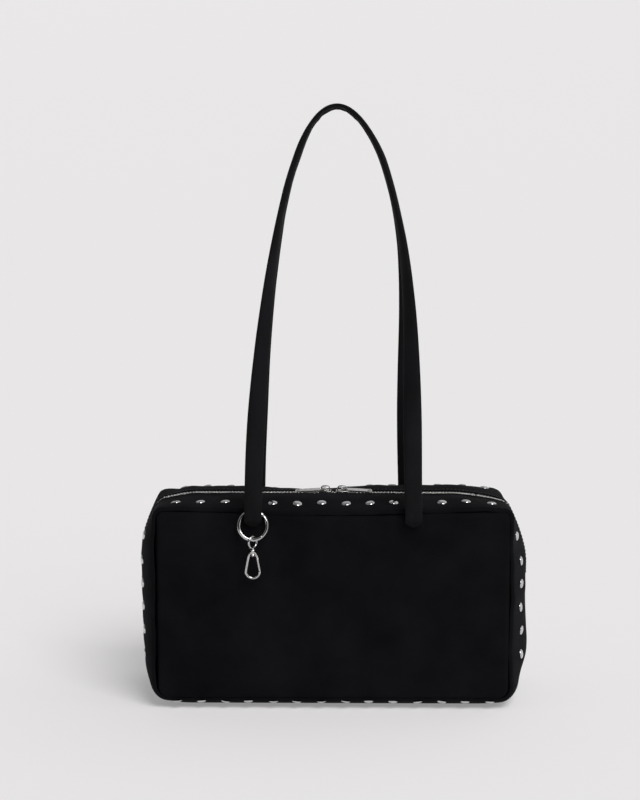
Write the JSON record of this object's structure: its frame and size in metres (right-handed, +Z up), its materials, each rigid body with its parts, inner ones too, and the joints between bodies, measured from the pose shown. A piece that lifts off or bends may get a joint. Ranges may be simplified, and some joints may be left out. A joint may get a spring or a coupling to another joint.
{
  "type": "bowler bag",
  "caption": "Small black fabric bowler bag with a zip mouth, studded gusset, upright padded shoulder straps and a spring-gate ring with a swivel clasp.",
  "frame": {"origin": "on the floor under the middle of the base", "axes": "+Z up, the front of the bag faces -Y, +X to the right seen from the front"},
  "size_m": [0.311, 0.1324, 0.4732],
  "materials": {
    "shell_fabric": "matte woven",
    "strap_fabric": "matte woven",
    "filler": "foam",
    "lining_fabric": "smooth woven",
    "board": "matte",
    "zip_tape": "woven tape",
    "zip_metal": "polished",
    "slider_metal": "polished",
    "stud_metal": "polished",
    "ring_metal": "polished"
  },
  "bodies": {
    "bag_body": {"front_panel": "shell_fabric", "back_panel": "shell_fabric", "base_gusset": "shell_fabric", "front_zip_band": "shell_fabric", "back_zip_band": "shell_fabric", "left_zip_tab": "shell_fabric", "right_zip_tab": "shell_fabric", "front_foam": "filler", "back_foam": "filler", "base_board": "board", "lining": "lining_fabric", "left_zip_end": "zip_metal", "right_zip_end": "zip_metal", "front_left_strap_root": "strap_fabric", "front_right_strap_root": "strap_fabric", "back_left_strap_root": "strap_fabric", "back_right_strap_root": "strap_fabric", "front_left_corner_studs": "stud_metal", "front_right_corner_studs": "stud_metal", "back_left_corner_studs": "stud_metal", "back_right_corner_studs": "stud_metal", "front_base_studs": "stud_metal", "back_base_studs": "stud_metal"},
    "front_flap": {"front_mouth_flap": "shell_fabric", "front_flap_studs": "stud_metal", "front_zip_tape": "zip_tape", "front_zip_teeth": "zip_metal"},
    "back_flap": {"back_mouth_flap": "shell_fabric", "back_flap_studs": "stud_metal", "back_zip_tape": "zip_tape", "back_zip_teeth": "zip_metal"},
    "left_slider": {"left_slider": "slider_metal"},
    "right_slider": {"right_slider": "slider_metal"},
    "left_pull": {"left_pull": "slider_metal"},
    "right_pull": {"right_pull": "slider_metal"},
    "front_strap": {"front_strap": "strap_fabric", "front_strap_core": "filler"},
    "back_strap": {"back_strap": "strap_fabric", "back_strap_core": "filler"},
    "ring": {"gate_ring": "ring_metal", "ring_gate_pin": "ring_metal"},
    "ring_gate": {"ring_gate": "ring_metal"},
    "clasp_eye": {"clasp_eye": "ring_metal"},
    "clasp_hook": {"clasp_hook": "ring_metal", "clasp_gate_pin": "ring_metal"},
    "clasp_gate": {"clasp_gate": "ring_metal"}
  },
  "joints": [
    {"name": "mouth_open", "type": "hinge", "parent": "bag_body", "child": "front_flap", "pos_m": [0, -0.044, 0.16156], "axis": [1, 0, 0], "range_deg": [0, 78], "deforming": ["front_zip_tape", "front_zip_teeth"]},
    {"name": "back_mouth_open", "type": "hinge", "parent": "bag_body", "child": "back_flap", "pos_m": [0, 0.044, 0.16156], "axis": [-1, 0, 0], "range_deg": [0, 78], "deforming": ["back_zip_tape", "back_zip_teeth"]},
    {"name": "left_slider_run", "type": "slide", "parent": "bag_body", "child": "left_slider", "axis": [-1, 0, 0], "range_m": [0, 0.1]},
    {"name": "right_slider_run", "type": "slide", "parent": "bag_body", "child": "right_slider", "axis": [1, 0, 0], "range_m": [0, 0.1]},
    {"name": "left_pull_lift", "type": "hinge", "parent": "left_slider", "child": "left_pull", "pos_m": [-0.0066, 0, 0.167], "axis": [0, 1, 0], "range_deg": [0, 95]},
    {"name": "right_pull_lift", "type": "hinge", "parent": "right_slider", "child": "right_pull", "pos_m": [0.0066, 0, 0.167], "axis": [0, -1, 0], "range_deg": [0, 95]},
    {"name": "front_strap_fold", "type": "hinge", "parent": "bag_body", "child": "front_strap", "pos_m": [0, -0.06206, 0.157], "axis": [1, 0, 0], "range_deg": [0, 120]},
    {"name": "back_strap_fold", "type": "hinge", "parent": "bag_body", "child": "back_strap", "pos_m": [0, 0.06206, 0.157], "axis": [-1, 0, 0], "range_deg": [0, 120]},
    {"name": "ring_swing", "type": "hinge", "parent": "bag_body", "child": "ring", "pos_m": [-0.0624, -0.05591, 0.16077], "axis": [-1, 0, 0], "range_deg": [0, 90]},
    {"name": "ring_gate_open", "type": "hinge", "parent": "ring", "child": "ring_gate", "pos_m": [-0.05423, -0.05703, 0.15731], "axis": [0, 0.9511, -0.309], "range_deg": [0, 18], "stiffness_Nm_per_rad": 0.01, "springref_deg": -17.19},
    {"name": "clasp_swing", "type": "hinge", "parent": "ring", "child": "clasp_eye", "pos_m": [-0.0624, -0.0627, 0.13985], "axis": [-1, 0, 0], "range_deg": [0, 90]},
    {"name": "clasp_swivel", "type": "hinge", "parent": "clasp_eye", "child": "clasp_hook", "pos_m": [-0.0624, -0.0627, 0.13985], "axis": [0, 0, 1], "continuous": true},
    {"name": "clasp_gate_open", "type": "hinge", "parent": "clasp_hook", "child": "clasp_gate", "pos_m": [-0.0588, -0.0627, 0.12455], "axis": [0, 1, 0], "range_deg": [0, 20], "stiffness_Nm_per_rad": 0.005, "springref_deg": -17.19}
  ],
  "couplings": [
    {"joint": "back_mouth_open", "follows": "mouth_open", "ratio": 1},
    {"joint": "left_slider_run", "follows": "mouth_open", "m_per_rad": 0.07345},
    {"joint": "right_slider_run", "follows": "mouth_open", "m_per_rad": 0.07345}
  ]
}
